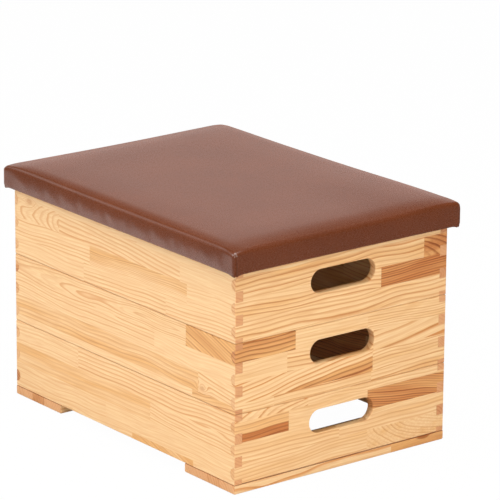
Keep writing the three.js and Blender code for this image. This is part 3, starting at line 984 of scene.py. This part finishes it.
def cut_evenly(bm, axis, low, high, spacing):
    """Cuts a whole shape at levels from low to high along an axis, about a spacing apart."""
    count = max(1, round((high - low) / spacing))
    for i in range(1, count):
        sawn(bm, list(bm.faces), axis, low + (high - low) * i / count)


def foam(name):
    """Open-celled foam, pale yellow."""
    material, tree, surface = shader(name)
    cells = tree.nodes.new("ShaderNodeTexVoronoi")
    open_cell = ramp(filled(cells, {"Vector": object_place(tree), "Scale": 700.0}), 0.1, 0.6)
    yellow = blended(open_cell, linear(196, 182, 128), linear(232, 222, 176))
    filled(surface, {"Base Color": yellow, "Roughness": 0.95})
    relief(surface, open_cell, 0.0005, 0.8)
    return material


skin = cover_thickness + pad_gap
pad_rim = cover_high.z - crown_height - skin
bm = block(pad_low, Vector((pad_high.x, pad_high.y, pad_rim)))
rounded(bm, upright_edges(bm), pad_corner_radius, pad_segments)
rounded(bm, edges_where(bm, lambda place: near(place.z, pad_rim)), lid_edge_round - skin, pad_segments)
for axis in (X, Y):
    cut_evenly(bm, axis, pad_low[axis], pad_high[axis], pad_spacing)
plump(bm, pad_rim)
for vert in bm.verts:
    vert.co += settled_out(vert.co)
facing_out(bm)
smooth(bm.faces)
pad = finished("foam_pad", bm, foam("pad_foam"), "lid", "foam", "lid_foam_pad")

# The cover, one sheet of brown artificial leather drawn over the pad and stapled under the
# battens. It is pleated at the corners, and its sides pucker softly between the staples.
hem_width = 0.025
hem_round = 0.0015
cover_segments = 6
cover_spacing = 0.005
corner_spacing = 0.0007
corner_zone = 0.014
side_spacing = 0.0030
cloth_growth = -0.004
cloth_frames = 10
most_swell = 0.0016
most_sink = 0.0004
softenings = 8


def artificial_leather(name):
    """Brown coated cloth with a fine pebbled grain and a soft sheen."""
    material, tree, surface = shader(name)
    place = object_place(tree)
    voronoi = tree.nodes.new("ShaderNodeTexVoronoi")
    voronoi.feature = "SMOOTH_F1"
    bends = vector_calc("MULTIPLY", cloudy(place, 180.0, output="Color"), (0.0022, 0.0022, 0.0022))
    bent = vector_calc("ADD", place, bends)
    pebbles = filled(voronoi, {"Vector": bent, "Scale": 620.0, "Smoothness": 0.6})
    cloud = cloudy(place, 9.0, 3.0)
    brown = blended(ramp(cloud, 0.3, 0.7), linear(102, 52, 27), linear(110, 57, 31))
    brown = blended(ramp(pebbles, 0.25, 0.75, 0.0, 0.25), brown, linear(84, 42, 22))
    filled(surface, {
        "Base Color": brown,
        "Roughness": ramp(cloudy(place, 900.0), 0.3, 0.7, 0.24, 0.30),
        "Specular IOR Level": 1.0,
        "Coat Weight": 0.18,
        "Coat Roughness": 0.28,
        "Sheen Weight": 0.35,
        "Sheen Roughness": 0.4,
        "Sheen Tint": linear(255, 150, 105),
    })
    relief(surface, pebbles * -1.0, 0.00012, 0.06)
    return material


cover_rim = cover_high.z - crown_height
bm = block(cover_low, Vector((cover_high.x, cover_high.y, cover_rim)))
rounded(bm, upright_edges(bm), lid_corner_radius, cover_segments)
rounded(bm, edges_where(bm, lambda place: near(place.z, cover_rim)), lid_edge_round, cover_segments)
rounded(bm, edges_where(bm, lambda place: near(place.z, cover_low.z)), hem_round, ease_segments)
underside = faces_at(bm, Z, cover_low.z)
bmesh.ops.inset_region(bm, faces=underside, thickness=hem_width - hem_round)
bmesh.ops.delete(bm, geom=underside, context="FACES")
for axis in (X, Y):
    cut_evenly(bm, axis, -cover_high[axis], cover_high[axis], cover_spacing)
cut_evenly(bm, Z, cover_low.z + hem_round, cover_rim - lid_edge_round, side_spacing)
plump(bm, cover_rim)
facing_out(bm)
smooth(bm.faces)
leather = artificial_leather("brown_leather")
cover = finished("leather_cover", bm, leather, "lid", "leatherette", "lid_cover")


def drawn_tight(cover):
    """Lets the cover's sides settle as cloth that is a little too long, held at its rim and its hem."""
    bm = bmesh.new()
    bm.from_mesh(cover.data)
    origin = bm.verts.layers.int.new("origin")
    for vert in bm.verts:
        vert[origin] = vert.index
    above = [vert for vert in bm.verts if vert.co.z > cover_rim - lid_edge_round / 2]
    bmesh.ops.delete(bm, geom=above, context="VERTS")
    origins = [vert[origin] for vert in bm.verts]
    mesh = bpy.data.meshes.new("cover_sides")
    bm.to_mesh(mesh)
    bm.free()
    sides = bpy.data.objects.new("cover_sides", mesh)
    bpy.context.scene.collection.objects.link(sides)
    held = sides.vertex_groups.new(name="held")
    for vert in mesh.vertices:
        cornered = 1 - eased(sum(to_edges(vert.co)), corner_zone, corner_reach)
        above = eased(vert.co.z, cover_rim - 2 * lid_edge_round, cover_rim - lid_edge_round)
        below = 1 - eased(vert.co.z, cover_low.z, cover_low.z + 3 * hem_round)
        held.add([vert.index], max(above, below, cornered), "REPLACE")
    cloth = sides.modifiers.new("cloth", "CLOTH")
    settings = cloth.settings
    settings.quality = 6
    settings.mass = 0.3
    settings.effector_weights.gravity = 0.0
    settings.tension_stiffness = 60.0
    settings.compression_stiffness = 60.0
    settings.bending_stiffness = 5.0
    settings.use_pressure = True
    settings.uniform_pressure_force = 3.0
    settings.shrink_min = cloth_growth
    settings.vertex_group_mass = "held"
    settings.pin_stiffness = 1.0
    scene = bpy.context.scene
    cloth.point_cache.frame_start = 1
    cloth.point_cache.frame_end = cloth_frames
    for number in range(1, cloth_frames + 1):
        scene.frame_set(number)
    settled = sides.evaluated_get(bpy.context.evaluated_depsgraph_get()).to_mesh()
    for old, new in zip(origins, settled.vertices):
        vert = cover.data.vertices[old]
        moved = new.co - vert.co
        most = most_swell if moved.dot(vert.normal) > 0 else most_sink
        if moved.length > most:
            moved *= most / moved.length
        vert.co += moved
    bpy.data.objects.remove(sides)
    scene.frame_set(1)


# Each corner's spare cloth is folded into a pleat that lies on the end side. It makes a groove
# and a ridge beside the corner, puckers under the rim, and hangs a little below the hem. Each
# wave is (how far from the corner, how wide, how far out).
pleats = ((0.0024, 0.0012, 0.0008), (0.0050, 0.0011, -0.0015), (0.0078, 0.0016, 0.0006))
pleat_top = 0.009
puckers = ((0.011, 0.004, 0.0007), (0.016, 0.004, -0.0005))
pucker_height = 0.003
droop = 0.0040
droop_reach = 0.022
droop_depth = 0.012
tuck = 0.0014
tuck_height = 0.009


def pleat(place):
    """How far the pleat lifts the cover at a place on its end side."""
    from_corner = cover_high.y - abs(place.y)
    from_rim = cover_rim - place.z
    folded, puckered = (
        sum(out * math.exp(-((from_corner - middle) / width) ** 2) for middle, width, out in waves)
        for waves in (pleats, puckers))
    under_rim = math.exp(-((from_rim - pleat_top) / pucker_height) ** 2)
    return folded * eased(from_rim, pleat_top / 3, pleat_top * 1.3) + puckered * under_rim


drawn_tight(cover)
bm = bmesh.new()
bm.from_mesh(cover.data)
loose = [vert for vert in bm.verts if sum(to_edges(vert.co)) > corner_zone
         and cover_low.z + hem_round < vert.co.z < cover_rim - lid_edge_round]
for _ in range(softenings):
    bmesh.ops.smooth_vert(bm, verts=loose, factor=0.5, use_axis_x=True, use_axis_y=True)
for axis in (X, Y):
    inner = cover_high[axis] - corner_zone
    cut_evenly(bm, axis, -cover_high[axis], -inner, corner_spacing)
    cut_evenly(bm, axis, inner, cover_high[axis], corner_spacing)
bm.normal_update()
lifts = []
for vert in bm.verts:
    to_end, to_side = to_edges(vert.co)
    on_end = 1 - eased(to_end, lid_corner_radius / 2, lid_corner_radius)
    hanging = 1 - eased(to_end + to_side, 0.0, droop_reach)
    hanging *= 1 - eased(min(to_end, to_side), 0.0, droop_depth)
    low_share = 1 - eased(vert.co.z, cover_low.z, cover_low.z + 2 * droop_depth)
    down = Vector((0.0, 0.0, -droop * hanging * low_share))
    tucked = tuck * hanging * (1 - eased(vert.co.z, cover_low.z, cover_low.z + tuck_height))
    down.x -= math.copysign(tucked, vert.co.x)
    down.y -= math.copysign(tucked, vert.co.y)
    lifts.append(vert.normal * pleat(vert.co) * on_end + settled_out(vert.co) + down)
for vert, lift in zip(bm.verts, lifts):
    vert.co += lift
smooth(bm.faces)
bm.to_mesh(cover.data)
bm.free()
wall = cover.modifiers.new("thickness", "SOLIDIFY")
wall.thickness = cover_thickness
wall.offset = -1.0

# The staples that hold the cover's hem, of bent and zinc-plated steel wire. They are driven up
# through the hem into the battens, in one row along every side.
staple_pitch = 0.045
staple_crown = 0.010
staple_wire = 0.0008
staple_inset = 0.0085
bm = bmesh.new()
for axis, other in ((X, Y), (Y, X)):
    reach = cover_high[axis] - 2 * staple_pitch / 3
    count = round(2 * reach / staple_pitch)
    for i in range(count + 1):
        for way in (-1, 1):
            place = Vector((0.0, 0.0, cover_low.z))
            place[axis] = -reach + 2 * reach * i / count
            place[other] = way * (cover_high[other] - staple_inset)
            size = Vector((staple_wire, staple_wire, staple_wire))
            size[axis] = staple_crown
            stretch = Matrix.Diagonal((*size, 1.0))
            wire = bmesh.ops.create_cube(bm, size=1.0, matrix=Matrix.Translation(place) @ stretch)
            edges = list({edge for vert in wire["verts"] for edge in vert.link_edges})
            rounded(bm, edges, staple_wire / 3, ease_segments)
facing_out(bm)
finished("lid_staples", bm, zinc("staple_steel"), "lid", "zinc_steel")

# The floor and the room, both white to the eye, the camera in the photo's place, and the soft
# lamps: one for each side that shows, one low in front for the slots' walls, one overhead, and a
# weak one behind on the left.
white = (1.0, 1.0, 1.0, 1.0)
floor_half = 30.0
floor_seen = 0.985
dim_floor = 0.10
room_light = 0.42


def rays(tree):
    """The share of rays that come straight from the eye, and the share that came by a mirror."""
    path = tree.nodes.new("ShaderNodeLightPath").outputs
    straight = Field(path["Is Camera Ray"]).calc("MAXIMUM", Field(path["Is Transmission Ray"]))
    return straight, Field(path["Is Glossy Ray"])


bm = bmesh.new()
bmesh.ops.create_grid(bm, x_segments=1, y_segments=1, size=floor_half)
mesh = bpy.data.meshes.new("floor")
bm.to_mesh(mesh)
bm.free()
floor = bpy.data.objects.new("floor", mesh)
bpy.context.scene.collection.objects.link(floor)
pale, tree, surface = shader("pale_floor")
filled(surface, {"Base Color": (0.9, 0.9, 0.9, 1.0), "Roughness": 0.9})
straight, glossy = rays(tree)
# Polished things mirror a pale strip of floor that lies close in front of the box, and a dim
# floor everywhere else
across, along, _ = split(object_place(tree))
strip = ramp(along, -1.60, -0.98, 0.0, 0.92) * ramp(across, -0.2, 0.4, 1.0, 0.0)
strip = (strip * ramp(along, -0.6, -0.3, 1.0, 0.0)).calc("MAXIMUM", dim_floor)
strength = straight.calc("MAXIMUM", strip)
glow = filled(tree.nodes.new("ShaderNodeEmission"), {"Color": white, "Strength": strength})
share = straight.calc("MAXIMUM", glossy) * floor_seen
mixed = filled(tree.nodes.new("ShaderNodeMixShader"), {0: share, 1: Field(surface.outputs[0]), 2: glow})
tree.links.new(mixed.socket, tree.nodes["Material Output"].inputs["Surface"])
floor.data.materials.append(pale)

# The room lights the box evenly, and polished things mirror a pale backdrop low behind the box
# on the left
world = bpy.data.worlds.new("studio")
world.use_nodes = True
bpy.context.scene.world = world
tree = world.node_tree
straight, glossy = rays(tree)
east, north, rise = split(Field(tree.nodes.new("ShaderNodeTexCoord").outputs["Generated"]))
backdrop = ramp(rise, 0.325, 0.385, 0.66, 0.04) * ramp(north - east, 0.5, 1.1, 0.1, 1.0)
lighting = ramp(straight.calc("MAXIMUM", glossy), 0.0, 1.0, room_light, 0.0)
filled(tree.nodes["Background"], {"Color": white, "Strength": glossy * backdrop + straight + lighting})

azimuth = math.radians(51.995)
elevation = math.radians(16.968)
roll = math.radians(0.423)
distance = 6.8744
aim_right = 0.04367
aim_up = 0.11097
aim_height = 0.220
sensor_width = 36.0
lens = 258.27
level_share = math.cos(elevation)
back = Vector((math.sin(azimuth) * level_share, -math.cos(azimuth) * level_share, math.sin(elevation)))
right = upward.cross(back).normalized()
up = back.cross(right)
camera_data = bpy.data.cameras.new("camera")
camera_data.sensor_width = sensor_width
camera_data.lens = lens
camera = bpy.data.objects.new("camera", camera_data)
bpy.context.scene.collection.objects.link(camera)
bpy.context.scene.camera = camera
turned = Matrix((right, up, back)).transposed().to_4x4() @ Matrix.Rotation(roll, 4, "Z")
stand = back * distance + right * aim_right + up * aim_up + upward * aim_height
camera.matrix_world = Matrix.Translation(stand) @ turned

lamp_aim = upward * 0.25
lamps = [
    ("key_lamp", (-1.2, -3.2, 2.6), 2.2, 56.0, (1.0, 1.0, 1.0)),
    ("side_lamp", (3.4, -0.6, 2.2), 2.0, 43.0, (1.0, 0.97, 0.89)),
    ("front_lamp", (2.6, -2.2, 1.0), 0.8, 11.0, (1.0, 0.93, 0.85)),
    ("top_lamp", (0.4, -0.2, 3.2), 2.4, 58.0, (1.0, 1.0, 1.0)),
    ("rim_lamp", (-2.6, -1.0, 2.2), 1.2, 3.5, (1.0, 1.0, 1.0)),
]
for name, place, size, power, tint in lamps:
    data = bpy.data.lights.new(name, "AREA")
    data.color = tint
    data.size = size
    data.energy = power
    lamp = bpy.data.objects.new(name, data)
    bpy.context.scene.collection.objects.link(lamp)
    lamp.location = place
    lamp.rotation_mode = "QUATERNION"
    lamp.rotation_quaternion = (Vector(place) - lamp_aim).to_track_quat("Z", "Y")

bpy.context.scene.view_settings.view_transform = "Standard"
